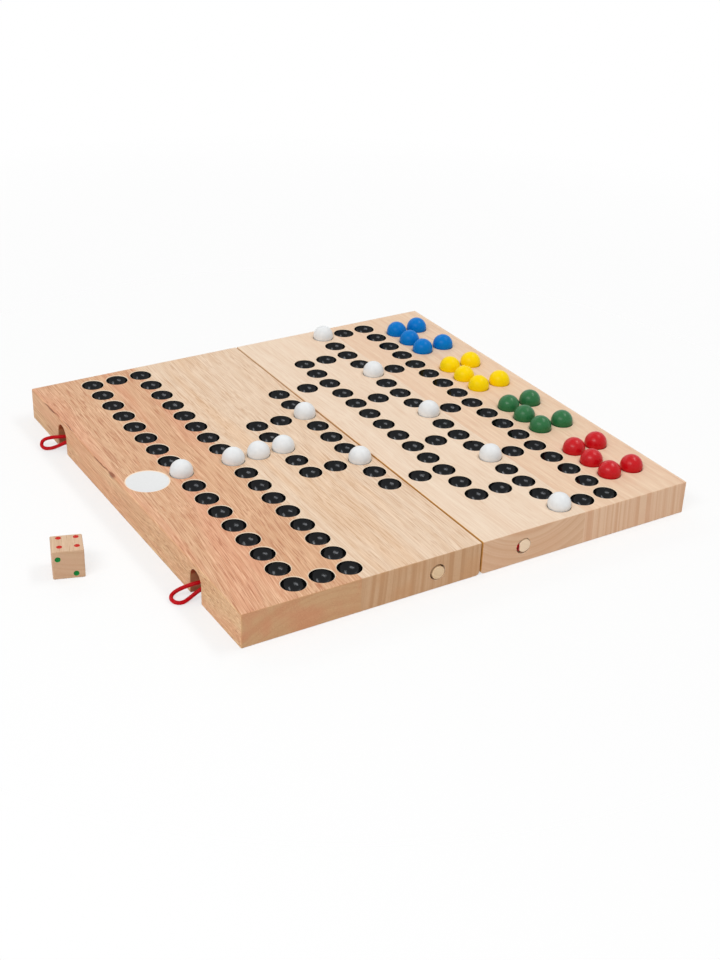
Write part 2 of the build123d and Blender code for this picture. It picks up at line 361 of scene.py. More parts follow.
# Scales of the noises in wood, across, along and across the grain, and the strength of its knots
PATCH_SCALE = (55, 5, 55)
FIBRE_SCALE = (1500, 34, 1500)
VESSEL_SCALE = (2300, 60, 2300)
CROWD_SCALE = (130, 8, 130)
WAVE, WAVE_SCALE = (0.007, 0.0, 0.007), 11.0
KNOT_WAVE, KNOT_WAVE_SCALE = (0.0016, 0.0, 0.0), 120.0
KNOT_TONE, KNOT_STRENGTH = (0.5, 0.34, 0.28), 0.8
WOOD_RELIEF = 0.00012


def wood(
    name, base, ring, blush, pore, pith, spacing, end=(0.9, 0.85, 0.8), rings=0.4, end_rings=0.6,
    fibres=0.3, pores=0.5, patches=0.4, slope=0.0, bow=0.0, along="Y", knots=(), light_and_shade_boxes=(), seam=None,
):
    """Plain sanded wood. The grain runs along one axis and the growth rings lie round the pith (x, z)."""
    finish = Finish(name, roughness=0.5, specular_ior_level=0.22)
    span, mix, noise, times = finish.span, finish.mix, finish.noise, finish.times
    turned = finish.mapped(finish.place, turn=(0, 0, pi / 2)) if along == "X" else finish.place
    wavy = finish.shifted(finish.leaning(turned, slope, bow), WAVE, WAVE_SCALE)
    side = finish.split(finish.normal)[along]
    cut_end = span(finish.math("ABSOLUTE", side, 0.0), 0.5, 0.95)
    long_side = span(cut_end, 0.0, 1.0, 1.0, 0.25)

    # Growth rings, faint along the grain and clearer on the cut ends
    band = finish.rings(finish.mapped(wavy, move=(-pith[0], 0, -pith[1])), spacing)
    colour = mix(times(band, span(cut_end, 0.0, 1.0, rings, end_rings)), base, ring)

    # Broad patches of another tone, then fine fibres, lighter and darker
    colour = mix(span(noise(wavy, PATCH_SCALE), 0.45, 0.68, 0.0, patches), colour, blush)
    fibre = noise(wavy, FIBRE_SCALE, 3.0, 0.62)
    colour = mix(times(span(fibre, 0.47, 0.70, 0.0, fibres), long_side), colour, ring)
    light = tuple(min(1.0, 1.2 * c + 0.03) for c in base)
    colour = mix(times(span(fibre, 0.50, 0.32, 0.0, fibres), long_side), colour, light)

    # Pores: short dark dashes that come in crowds
    dash = span(noise(wavy, VESSEL_SCALE, 1.5), 0.52, 0.63)
    dash = times(dash, span(noise(wavy, CROWD_SCALE), 0.36, 0.56, 0.4 * pores, pores))
    dash = times(dash, long_side)
    colour = mix(dash, colour, pore)

    # Knot streaks, the tone of the cut ends, the boxes of painted light and shade, and painted shade at
    # the seam
    for x, y, turn, long, wide in knots:
        place = finish.shifted(finish.place, KNOT_WAVE, KNOT_WAVE_SCALE)
        spot = finish.mapped(
            place, (wide / 2, long / 2, wide), (x, y, BOARD_TOP), (0, 0, turn), "TEXTURE"
        )
        ball = finish.fed("ShaderNodeTexGradient", spot, out="Fac", gradient_type="SPHERICAL")
        colour = mix(span(ball, 0.0, 0.6, 0.0, KNOT_STRENGTH), colour, toned(pore, KNOT_TONE))
    colour = finish.toned_where(cut_end, colour, end)
    # Painted light and shade inside the boxes
    for middle, size, tone in light_and_shade_boxes:
        colour = finish.toned_where(finish.inside(middle, size), colour, tone)
    # Painted shade on the faces that meet at the seam
    if seam:
        colour = finish.toned_where(finish.seam_shade_mask(seam[0]), colour, seam[1])
    rough = finish.math("ADD", times(fibre, 0.18), 0.42)
    height = finish.math("SUBTRACT", fibre, times(dash, 0.6))
    return finish.done(colour, rough, height, WOOD_RELIEF, 0.5)


BRUSH_SCALE, GRAIN_SCALE = 420, (900, 160, 900)
PAINT_EDGE = 0.0002


def paint(name, colour, rough=0.3, relief=0.00005, tone=0.85, gloss=0.16, disc=None, tint=(1, 1, 1)):
    """Thin paint on wood: a few brush runs, and grain that shows as a faint relief.

    A disc (x, y, radius, bare colour) keeps the paint inside a circle.
    """
    finish = Finish(name, roughness=rough, specular_ior_level=gloss, specular_tint=tint)
    runs = finish.noise(finish.place, BRUSH_SCALE)
    grain = finish.noise(finish.place, GRAIN_SCALE, 3.0)
    shade = finish.mix(finish.span(runs, 0.35, 0.75, 0.0, 0.6), colour, dimmed(colour, tone))
    if disc:
        x, y, radius, bare = disc
        flat = finish.vector("MULTIPLY", finish.mapped(finish.place, move=(-x, -y, 0)), (1, 1, 0))
        away = finish.vector("LENGTH", flat, out="Value")
        edge = finish.math("ADD", away, finish.times(runs, PAINT_EDGE))
        shade = finish.mix(finish.span(edge, radius, radius + PAINT_EDGE), shade, bare)
    varied = finish.span(grain, 0.3, 0.7, rough * 0.8, rough * 1.3)
    height = finish.math("ADD", runs, finish.times(grain, 0.5))
    return finish.done(shade, varied, height, relief, 0.7)


class Shape(Nodes):
    """A geometry node group with named inputs, which ends in one mesh with its material."""

    def __init__(self, name, **inputs):
        super().__init__(bpy.data.node_groups.new(name, "GeometryNodeTree"))
        new_socket = self.tree.interface.new_socket
        for label, kind in {"Geometry": "Geometry", **inputs}.items():
            new_socket(label, in_out="INPUT", socket_type="NodeSocket" + kind)
        new_socket("Geometry", in_out="OUTPUT", socket_type="NodeSocketGeometry")
        self.start = self.add("NodeGroupInput").outputs

    def stored(self, geometry, name, value, kind="FLOAT", domain="POINT"):
        """The geometry with a value kept on it under a name."""
        return self.named(
            "GeometryNodeStoreNamedAttribute", {"data_type": kind, "domain": domain},
            Geometry=geometry, Name=name, Value=value,
        )

    def read(self, name, kind="FLOAT"):
        return self.named("GeometryNodeInputNamedAttribute", {"data_type": kind}, Name=name)

    def end(self, geometry, **selection):
        """End with the instances realized and the material on what is selected."""
        real = self.named("GeometryNodeRealizeInstances", Geometry=geometry)
        finished = self.named(
            "GeometryNodeSetMaterial", Geometry=real, Material=self.start["Finish"], **selection
        )
        self.feed(self.add("NodeGroupOutput").inputs[0], finished)
        return self.tree


def cutting_tree(name, make_cutter, **inputs):
    """A tree that takes a cutter away at each vertex of another object, and finishes what it cut."""
    shape = Shape(name, Places="Object", Finish="Material", **inputs)
    places = shape.named("GeometryNodeObjectInfo", out="Geometry", Object=shape.start["Places"])
    cutter = shape.stored(make_cutter(shape), "cut", True, "BOOLEAN", "FACE")
    spread = shape.named("GeometryNodeInstanceOnPoints", Points=places, Instance=cutter)
    cutters = shape.named("GeometryNodeRealizeInstances", Geometry=spread)
    fresh = shape.stored(shape.start["Geometry"], "cut", False, "BOOLEAN", "FACE")
    less = shape.named(
        "GeometryNodeMeshBoolean", {"operation": "DIFFERENCE", "solver": "MANIFOLD"},
        Mesh_1=fresh, Mesh_2=cutters,
    )
    return shape.end(less, Selection=shape.read("cut", "BOOLEAN"))


def ball_nose(shape):
    """A sphere, or a flatter lens where the flatness is under 1."""
    sphere = shape.named(
        "GeometryNodeMeshUVSphere", Segments=CUTTER_SEGMENTS, Rings=CUTTER_RINGS,
        Radius=shape.start["Radius"],
    )
    squash = shape.fed("ShaderNodeCombineXYZ", 1.0, 1.0, shape.start["Flatness"])
    return shape.named("GeometryNodeTransform", Geometry=sphere, Scale=squash)


def countersink(shape):
    """A cone that widens from its own vertex plane, to ease the rim of a round hole."""
    radius, depth = shape.start["Radius"], shape.start["Depth"]
    return shape.named(
        "GeometryNodeMeshCone", Vertices=CUTTER_SEGMENTS, Radius_Bottom=radius,
        Radius_Top=shape.math("ADD", radius, depth), Depth=depth,
    )


def link(name, data):
    piece = bpy.data.objects.new(name, data)
    bpy.context.scene.collection.objects.link(piece)
    return piece


def mesh_of(bm, name):
    """A named mesh of what is in a bmesh, which is used up."""
    mesh = bpy.data.meshes.new(name)
    bm.to_mesh(mesh)
    bm.free()
    return mesh


def merged_copy(node):
    """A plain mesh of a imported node, with its loose triangles joined and its stored normals left out."""
    bm = bmesh.new()
    bm.from_mesh(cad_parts[node].data)
    bmesh.ops.remove_doubles(bm, verts=bm.verts, dist=1e-6)
    mesh = mesh_of(bm, node)
    for name in ("custom_normal", "sharp_edge", "sharp_face"):
        if name in mesh.attributes:
            mesh.attributes.remove(mesh.attributes[name])
    return mesh


def evaluated_mesh(piece):
    """A plain mesh of an object with its modifiers, or of the line of a curve object."""
    bpy.context.view_layer.update()
    made = piece.evaluated_get(bpy.context.evaluated_depsgraph_get())
    return bpy.data.meshes.new_from_object(made)


def grown(piece, tree, **values):
    """The plain mesh that a tree makes of a piece."""
    modifier = piece.modifiers.new(tree.name, "NODES")
    modifier.node_group = tree
    for item in tree.interface.items_tree:
        if item.in_out == "INPUT" and item.name in values:
            modifier[item.identifier] = values[item.name]
    mesh = evaluated_mesh(piece)
    piece.modifiers.remove(modifier)
    return mesh


def cut(piece, tree, points, lining, **sizes):
    """Let a cutting tree work on a piece at the points, and give what it cut the lining."""
    mesh = bpy.data.meshes.new("places")
    mesh.from_pydata(points, [], [])
    places = link("places", mesh)
    piece.data = grown(piece, tree, Places=places, Finish=lining, **sizes)
    bpy.data.objects.remove(places)


def smooth(piece, limit=32):
    """Shade a piece smooth, with hard edges where it turns by more than the limit in degrees."""
    piece.data.shade_smooth()
    piece.data.set_sharp_from_angle(angle=radians(limit))


def flat_faced(piece):
    """Shade a piece so that large faces stay flat and the narrow eased edges take up the turn."""
    smooth(piece)
    modifier = piece.modifiers.new("flat faces", "WEIGHTED_NORMAL")
    modifier.mode = "FACE_AREA"
    modifier.weight = 100
    modifier.keep_sharp = True
    piece.data = evaluated_mesh(piece)
    piece.modifiers.remove(modifier)


def stand_in(piece, slot, node, body=None):
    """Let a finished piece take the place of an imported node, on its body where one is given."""
    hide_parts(node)
    if body:
        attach(piece, body)


def clothe(nodes, material):
    """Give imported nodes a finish, in all their material slots."""
    for node in nodes:
        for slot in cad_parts[node].material_slots:
            slot.material = material


# Each board's slot, its colour in the settings, a tone for that colour, and its look.
# Each box of painted light and shade is a middle, a size and a tone.
NOTCH_SHADE_BOX = (0.0103, 0.0134, 0.0188)
LIGHT_AND_SHADE_BOXES = (
    # Painted shade inside the front and back closure notches
    ((LEFT_EDGE + 0.0055, -NOTCH_Y, 0.0075), NOTCH_SHADE_BOX, srgb(202, 114, 70)),
    ((LEFT_EDGE + 0.0055, NOTCH_Y, 0.0075), NOTCH_SHADE_BOX, srgb(200, 148, 104)),
    # Painted light: the left side face of the board made lighter and yellower
    ((LEFT_EDGE, 0, 0.01), (0.0008, 0.4, 0.04), (1.04, 1.1, 1.01)),
)
# Painted shade on the walls of the gap between the halves, in a golden brown tone
SEAM_SHADE = ((LEFT_SEAM + RIGHT_SEAM) / 2, srgb(216, 176, 106))
BOARDS = {
    "left_outer": ("reddish_board", "reddish", (1, 1, 1), dict(
        ring=srgb(202, 142, 104), blush=srgb(220, 152, 120), pore=srgb(168, 98, 64),
        pith=(-0.070, -0.060), spacing=0.0060, end=srgb(238, 234, 220), rings=0.25, end_rings=0.35,
        fibres=0.7, pores=0.62, patches=0.65, slope=0.055, bow=-0.21, knots=KNOTS, light_and_shade_boxes=LIGHT_AND_SHADE_BOXES)),
    "left_inner": ("pale_board_left", "pale", srgb(250, 246, 242), dict(
        ring=srgb(204, 160, 118), blush=srgb(226, 186, 148), pore=srgb(186, 138, 98),
        pith=(-0.42, 0.030), spacing=0.0046, end=srgb(226, 206, 184), rings=0.22, end_rings=0.6,
        fibres=0.36, pores=0.5, patches=0.55, slope=0.02, seam=SEAM_SHADE)),
    "right_inner": ("pale_board_middle", "pale", (1, 1, 1), dict(
        ring=srgb(212, 172, 138), blush=srgb(230, 196, 168), pore=srgb(206, 164, 130),
        pith=(0.040, 0.056), spacing=0.0050, end=srgb(240, 220, 203), rings=0.15, end_rings=0.5,
        fibres=0.25, pores=0.3, patches=0.25, seam=SEAM_SHADE)),
    "right_outer": ("pale_board_right", "pale", srgb(252, 244, 236), dict(
        ring=srgb(214, 168, 134), blush=srgb(230, 194, 166), pore=srgb(206, 158, 124),
        pith=(0.55, 0.020), spacing=0.0048, end=srgb(248, 238, 230), rings=0.3, end_rings=0.7,
        fibres=0.3, pores=0.35, patches=0.35, slope=-0.012)),
}


class BOARDGAME_OT_boards(bpy.types.Operator):
    """Cut fine dishes into the four boards, paint them and finish the wood"""

    bl_idname = "boardgame.boards"
    bl_label = "Boards"

    def execute(self, context):
        sizes = context.scene.board_settings
        self.cuts = cutting_tree("Ball-nosed cuts", ball_nose, Radius="Float", Flatness="Float")
        self.rims = cutting_tree("Eased rims", countersink, Radius="Float", Depth="Float")
        # The eased dish rims are bare sanded wood, and their paler colour is partly a painted highlight
        # where the rims catch the light
        self.raw_rim = wood(
            "raw_rim", srgb(246, 224, 198), srgb(238, 210, 178), srgb(242, 216, 188),
            srgb(226, 190, 154), (0, -0.4), 0.004, rings=0.2, pores=0.1,
        )
        groups = self.groups(sizes, context.scene.piece_settings)
        disc = (*GOAL, sizes.goal_paint_radius, srgb(246, 222, 196))
        goal_paint = paint("goal_paint", sizes.goal_paint, 0.4, 0.00006, 0.97, disc=disc)
        for name, (slot, colour, tone, look) in BOARDS.items():
            node, side = f"{name}_plank", name.split("_")[0]
            low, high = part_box(node)
            board = link(f"{name}_board", merged_copy(node))
            board.data.materials.clear()
            base = toned(getattr(sizes, colour), tone)
            board.data.materials.append(wood(f"wood_{name}_board", base, **look))
            for places, lining in groups:
                centres = [(dish_x(row), dish_y(column)) for row, column in places]
                reach = (low.x - sizes.dish_radius, high.x + sizes.dish_radius)
                centres = [place for place in centres if reach[0] < place[0] < reach[1]]
                if centres:
                    self.cut_dishes(board, centres, sizes, lining)
            if colour == "reddish":
                self.cut_goal(board, sizes, goal_paint)
            flat_faced(board)
            stand_in(board, slot, node, f"{side}_half")
        return {"FINISHED"}

    def groups(self, sizes, colours):
        """The places and the paint of the track, and of each house in a darker tone of its balls."""
        tint = srgb(244, 248, 255)
        track = paint("dish_paint", sizes.dish_paint, 0.16, 0.00015, gloss=0.24, tint=tint)
        found = [(TRACK_PLACES, track)]
        for colour, middle in HOUSES.items():
            shade = dimmed(getattr(colours, colour), 0.75)
            found.append((house_places(middle), paint(f"dish_paint_{colour}", shade, 0.25, 0.0002)))
        return found

    def cut_dishes(self, board, centres, sizes, lining):
        """Ease the rims first, then cut the dishes, whose walls take the paint."""
        above = sizes.dish_radius - sizes.dish_depth
        rim = sqrt(sizes.dish_radius**2 - above**2)
        at_rim = [(x, y, BOARD_TOP - sizes.rim_ease) for x, y in centres]
        cut(board, self.rims, at_rim, self.raw_rim, Radius=rim, Depth=sizes.rim_ease + CUTTER_LIFT)
        at_middle = [(x, y, BOARD_TOP + above) for x, y in centres]
        cut(board, self.cuts, at_middle, lining, Radius=sizes.dish_radius, Flatness=1.0)

    def cut_goal(self, board, sizes, lining):
        """The goal is wide and shallow, cut by a lens whose middle stands over the board."""
        above = 0.25 * sizes.goal_depth
        half = sizes.goal_depth + above
        wide = sizes.goal_radius / sqrt(1 - (above / half) ** 2)
        place = (*GOAL, BOARD_TOP + above)
        cut(board, self.cuts, [place], lining, Radius=wide, Flatness=half / wide)


class BOARDGAME_OT_dowels(bpy.types.Operator):
    """Make the worn dowel plugs in the end faces, and finish the turned closure pegs"""

    bl_idname = "boardgame.dowels"
    bl_label = "Dowels and pegs"

    sides, ease_steps = 64, 8

    # The colours of the wood, its rings, patches and pores, its pith and the tone of its ends
    woods = {
        "left": (
            ((236, 207, 170), (214, 180, 140), (232, 206, 170), (202, 164, 122)),
            (-0.012, 0.02), (0.95, 0.93, 0.9),
        ),
        "right": (
            ((248, 223, 193), (228, 198, 164), (242, 220, 192), (214, 180, 142)),
            (0.05, 0.03), (0.98, 0.96, 0.94),
        ),
    }

    def execute(self, context):
        sizes = context.scene.piece_settings
        looks = {
            side: wood(
                f"dowel_wood_{side}", *(srgb(*colour) for colour in colours), pith, 0.0022, end=tone,
                end_rings=0.4, pores=0.3,
            )
            for side, (colours, pith, tone) in self.woods.items()
        }
        for end, outward in (("front", -1), ("back", 1)):
            for side, look in looks.items():
                node = f"plug_{end}_{side}"
                dowel = self.dowel(f"dowel_{end}_{side}", node, side, outward, sizes)
                dowel.data.materials.append(look)
                stand_in(dowel, "dowel", node, f"{side}_half")
        pegs = [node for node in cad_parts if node.startswith("peg_")]
        clothe(pegs, wood(
            "peg_wood", srgb(236, 208, 172), srgb(214, 178, 138), srgb(226, 192, 156),
            srgb(196, 154, 114), (0.09, 0.02), 0.0016, rings=0.6, pores=0.4, along="X",
        ))
        return {"FINISHED"}

    def dowel(self, name, node, side, outward, sizes):
        """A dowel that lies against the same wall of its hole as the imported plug, with rounded ends."""
        low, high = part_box(node)
        wide, ease = sizes.dowel_radius, sizes.dowel_ease
        slack = (high.x - low.x) / 2 - wide
        lean = Vector((1, 0, 0)) if side == "right" else Vector((1, 0, -1)).normalized()
        middle = (low + high) / 2 + slack * lean
        face, inner = (low.y, high.y) if outward < 0 else (high.y, low.y)
        profile = [(0.0, face)]
        for step in range(self.ease_steps + 1):
            turn = pi / 2 * step / self.ease_steps
            profile.append((wide - ease + ease * sin(turn), face - outward * ease * (1 - cos(turn))))
        profile += [(wide, inner + outward * ease), (wide - ease, inner), (0.0, inner)]
        bm = bmesh.new()
        rings = []
        turns = [2 * pi * k / self.sides for k in range(self.sides)]
        for radius, y in profile:
            ring = []
            for t in turns if radius else [0.0]:
                uneven = radius * (1 + 0.008 * sin(3 * t + 1) + 0.005 * sin(7 * t))
                ring.append(bm.verts.new((middle.x + uneven * cos(t), y, middle.z + uneven * sin(t))))
            rings.append(ring)
        for first, second in zip(rings, rings[1:]):
            for k in range(self.sides):
                corners = [first[k % len(first)], first[(k + 1) % len(first)]]
                corners += [second[(k + 1) % len(second)], second[k % len(second)]]
                bm.faces.new(list(dict.fromkeys(corners)))
        bmesh.ops.recalc_face_normals(bm, faces=bm.faces)
        piece = link(name, mesh_of(bm, name))
        smooth(piece, 50)
        return piece


class BOARDGAME_OT_balls(bpy.types.Operator):
    """Paint the white barricade balls and the players' balls"""

    bl_idname = "boardgame.balls"
    bl_label = "Balls"

    # Roughness and gloss of each paint
    looks = {
        "white": (0.38, 0.2), "blue": (0.3, 0.1), "yellow": (0.3, 0.1), "green": (0.3, 0.24),
        "red": (0.3, 0.24),
    }

    def execute(self, context):
        colours = context.scene.piece_settings
        for colour, (rough, gloss) in self.looks.items():
            nodes = [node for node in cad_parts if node.startswith(f"ball_{colour}_")]
            shade = tuple(getattr(colours, colour))
            clothe(nodes, paint(f"ball_paint_{colour}", shade, rough, 0.00006, 0.93, gloss))
        return {"FINISHED"}


# Each face's way out and the way across it, and the places of its pips. Some layouts lie off the middle.
CORNERS = ((-1, -1), (-1, 1), (1, -1), (1, 1))
DIE_FACES = {
    1: ((1, 0, 0), (0, 1, 0), ((0, 0),)),
    2: ((0, -1, 0), (1, 0, 0), ((-1, 1), (1, -1))),
    3: ((0, 0, -1), (1, 0, 0), ((-1, 1), (0, 0), (1, -1))),
    4: ((0, 0, 1), (1, 0, 0), CORNERS),
    5: ((0, 1, 0), (-1, 0, 0), (*CORNERS, (0, 0))),
    6: ((-1, 0, 0), (0, -1, 0), (*CORNERS, (-1, 0), (1, 0))),
}
PIP_DRIFTS = {2: (-0.0008, -0.0009), 4: (0.0005, 0.0009)}


class BOARDGAME_OT_die(bpy.types.Operator):
    """Make the wooden die with its drilled and painted pips"""

    bl_idname = "boardgame.die"
    bl_label = "Die"

    def execute(self, context):
        sizes = context.scene.piece_settings
        middle = centre("die")
        low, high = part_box("die")
        side = high.z - low.z
        bm = bmesh.new()
        bmesh.ops.create_cube(bm, size=side)
        bmesh.ops.bevel(
            bm, geom=bm.edges[:], offset=sizes.die_ease, segments=5, profile=0.5, affect="EDGES"
        )
        stand = Matrix.Translation(middle) @ Matrix.Rotation(sizes.die_turn, 4, "Z")
        bm.transform(stand)
        die = link("wooden_die", mesh_of(bm, "wooden_die"))
        die.data.materials.append(wood(
            "wood_die", tuple(sizes.die_wood), srgb(200, 162, 128), srgb(212, 170, 144),
            srgb(178, 136, 102), (middle.x + 0.02, 0.06), 0.0022, rings=0.45, pores=0.5,
            slope=-sizes.die_turn,
        ))
        cuts = cutting_tree("Pip cuts", ball_nose, Radius="Float", Flatness="Float")
        radius = (sizes.pip_radius**2 + sizes.pip_depth**2) / (2 * sizes.pip_depth)
        paints = {
            "green": paint("pip_green", srgb(8, 128, 58), 0.22, 0.00004),
            "red": paint("pip_red", srgb(200, 48, 38), 0.3, 0.00004),
        }
        for colour, points in self.pips(side, radius, sizes).items():
            points = [stand @ point for point in points]
            cut(die, cuts, points, paints[colour], Radius=radius, Flatness=1.0)
        flat_faced(die)
        stand_in(die, "die_wood", "die", "die")
        return {"FINISHED"}

    def pips(self, side, radius, sizes):
        """The centres of the pips' spheres by colour: opposite faces add up to seven."""
        spread = sizes.pip_spread
        found = {"green": [], "red": []}
        for number, (outward, across, layout) in DIE_FACES.items():
            outward, across = Vector(outward), Vector(across)
            upward = outward.cross(across)
            out = outward * (side / 2 - sizes.pip_depth + radius)
            drift = PIP_DRIFTS.get(number, (0, 0))
            for x, y in layout:
                place = across * (x * spread + drift[0]) + upward * (y * spread + drift[1])
                found["green" if number < 4 else "red"].append(out + place)
        return found


# Closure loops. Each point is its distance out of the board's edge, its place along Y and its height.
HOLE_HEIGHT = 0.0074
STRAND_OUT, STRAND_TURN, STRAND_SIDE = -0.01667, -0.0098, 0.00125
LOOP_ROUTES = {
    "front": [
        (-0.0015, 0.0022, 0.0078), (0.0026, 0.0039, 0.0064), (0.0066, 0.0066, 0.0038),
        (0.0104, 0.0068, 0.0018), (0.0121, 0.0036, 0.0012), (0.0113, -0.0002, 0.0012),
        (0.0082, -0.0019, 0.0012), (0.0044, -0.0011, 0.0020), (0.0006, -0.0006, 0.0038),
        (-0.0034, -0.0015, 0.0064),
    ],
    "back": [
        (-0.0008, 0.0029, 0.0078), (0.0045, 0.0074, 0.0066), (0.0084, 0.0103, 0.0046),
        (0.0104, 0.0089, 0.0024), (0.0099, 0.0056, 0.0013), (0.0065, 0.0038, 0.0012),
        (0.0024, 0.0025, 0.0024), (-0.0020, -0.0010, 0.0058),
    ],
}

# The knots: points of their run, and its reach from the middle for a lump that is 1 wide
KNOT_POINTS = 96
KNOT_WIDE, KNOT_HIGH = 0.155, 0.17

# The plug holes, and the shape of the elastic's tail that is pinched beside its dowel
PLUG_FROM_SEAM = 0.027
TAIL_SQUEEZE = 0.8
TAIL_FROM_MIDDLE = 0.0038
TAIL_THINNED = 0.85
TAIL_WIDENED = 2.4
TAIL_PROUD = 0.0005

# Length of the braid's facets: fine where the hinge bends the cord
FACET, BENDING_FACET = 0.00014, 0.00005
BRAID_SIDES = 40
RUN_STEPS, TAIL_STEPS = 48, 24


def braid_tree():
    """A tree that lays a braided tube along a curve: two sets of yarns cross over and under."""
    shape = Shape(
        "Braided cord", Diameter="Float", Carriers="Float", Lay="Float", Relief="Float", Step="Float",
        Finish="Material",
    )
    start, math, times = shape.start, shape.math, shape.times
    even = shape.named(
        "GeometryNodeResampleCurve", {"mode": "LENGTH"}, Curve=start["Geometry"], Length=start["Step"]
    )
    run = shape.named("GeometryNodeSplineParameter", out="Length")
    turn = shape.named("GeometryNodeSplineParameter", out="Factor")
    radius = times(start["Diameter"], 0.5)
    ring = shape.named("GeometryNodeCurvePrimitiveCircle", Resolution=BRAID_SIDES, Radius=radius)
    tube = shape.named(
        "GeometryNodeCurveToMesh", Curve=shape.stored(even, "run", run),
        Profile_Curve=shape.stored(ring, "turn", turn), Fill_Caps=True,
    )
    shift = math("DIVIDE", times(shape.read("run"), start["Carriers"]), start["Lay"])
    round_it = times(shape.read("turn"), start["Carriers"])
    first, second = math("ADD", round_it, shift), math("SUBTRACT", round_it, shift)
    parity = math("ADD", math("FLOOR", first), math("FLOOR", second))
    over = math("FLOORED_MODULO", parity, 2.0)

    def bulge(phase, other):
        across = math("SINE", times(math("FRACT", phase), pi))
        along = math("SINE", times(math("FRACT", other), pi))
        return math("ADD", times(across, 0.6), times(along, 0.4))

    left_over = times(over, bulge(first, second))
    right_over = times(math("SUBTRACT", 1.0, over), bulge(second, first))
    height = math("SUBTRACT", math("ADD", left_over, right_over), 1.0)
    offset = shape.named(
        "ShaderNodeVectorMath", {"operation": "SCALE"}, Vector=shape.named("GeometryNodeInputNormal"),
        Scale=times(height, start["Relief"]),
    )
    relief = shape.stored(tube, "yarn", math("ADD", height, 1.0))
    return shape.end(shape.named("GeometryNodeSetPosition", Geometry=relief, Offset=offset))


def elastic_finish(colour):
    """Braided elastic: painted shade between the yarns, painted glints of lighter red on the yarn crowns,
    and a little sheen.
    """
    finish = Finish("elastic", roughness=0.3, specular_ior_level=0.12)
    yarn = finish.fed("ShaderNodeAttribute", out="Fac", attribute_name="yarn")
    fuzz = finish.noise(finish.place, 5200, 3.0)
    # Painted glints: a lighter red where a fine noise is high
    lit = tuple(min(1, c * 1.5) for c in colour)
    glinting = finish.mix(finish.span(fuzz, 0.35, 0.75), colour, lit)
    # Painted shade: the colour dimmed to a fifth in the hollows between the yarns
    shade = finish.mix(finish.span(yarn, 0.3, 0.95), dimmed(colour, 0.2), glinting)
    return finish.done(shade, None, fuzz, 0.00006, 0.6)


def curve_object(points, kind="POLY", closed=False):
    """A curve object: straight pieces through the points, or a smooth open line that follows them."""
    curve = bpy.data.curves.new("route", "CURVE")
    curve.dimensions = "3D"
    curve.resolution_u = 24
    spline = curve.splines.new(kind)
    spline.points.add(len(points) - 1)
    for point, place in zip(spline.points, points):
        point.co = (*place, 1)
    spline.use_cyclic_u = closed
    if kind == "NURBS":
        spline.order_u = 3
        spline.use_endpoint_u = True
    return link("route", curve)


def knot_curve(middle, size):
    """The closed run of an overhand knot, in a lump of the given diameter round its middle."""
    wide, high = KNOT_WIDE * size, KNOT_HIGH * size
    points = []
    for step in range(KNOT_POINTS):
        t = 2 * pi * step / KNOT_POINTS
        points.append(middle + Vector((
            high * -sin(3 * t),
            wide * (sin(t) + 1.7 * sin(2 * t)) / 1.25,
            wide * (cos(t) - 1.7 * cos(2 * t)) / 1.25,
        )))
    return curve_object(points, closed=True)


class Braid:
    """Makes braided cords along curve objects, with one tree and one finish."""

    def __init__(self, sizes):
        self.sizes = sizes
        self.tree, self.finish = braid_tree(), elastic_finish(tuple(sizes.colour))

    def cord(self, name, curve, squeeze=1.0, step=FACET):
        """The curve object turned into a cord, as thick as the elastic or squeezed thinner."""
        sizes = self.sizes
        cord = link(name, grown(
            curve, self.tree, Diameter=sizes.diameter * squeeze, Carriers=float(sizes.carriers),
            Lay=sizes.lay, Relief=sizes.relief, Step=step, Finish=self.finish,
        ))
        bpy.data.objects.remove(curve)
        smooth(cord, 60)
        return cord


class BOARDGAME_OT_loops(bpy.types.Operator):
    """Make the two braided closure loops, each with its knot in the recess"""

    bl_idname = "boardgame.loops"
    bl_label = "Closure loops"

    def execute(self, context):
        braid = Braid(context.scene.elastic_settings)
        strand = [(STRAND_OUT, STRAND_SIDE, HOLE_HEIGHT), (STRAND_TURN, STRAND_SIDE, HOLE_HEIGHT)]
        back = [(out, -along, up) for out, along, up in reversed(strand)]
        for end, outer in LOOP_ROUTES.items():
            low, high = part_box(f"loop_knot_{end}")
            middle = (low + high) / 2
            route = [(LEFT_EDGE - out, middle.y + along, up) for out, along, up in strand + outer + back]
            curve = curve_object(route, "NURBS")
            path = [tuple(vertex.co) for vertex in evaluated_mesh(curve).vertices]
            cord = braid.cord(f"loop_cord_{end}", curve)
            knot = braid.cord(f"loop_knot_cord_{end}", knot_curve(middle, high.x - low.x))
            stand_in(cord, "red_elastic", f"loop_{end}", "left_half")
            stand_in(knot, "red_elastic", f"loop_knot_{end}", "left_half")
            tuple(route[0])
        return {"FINISHED"}


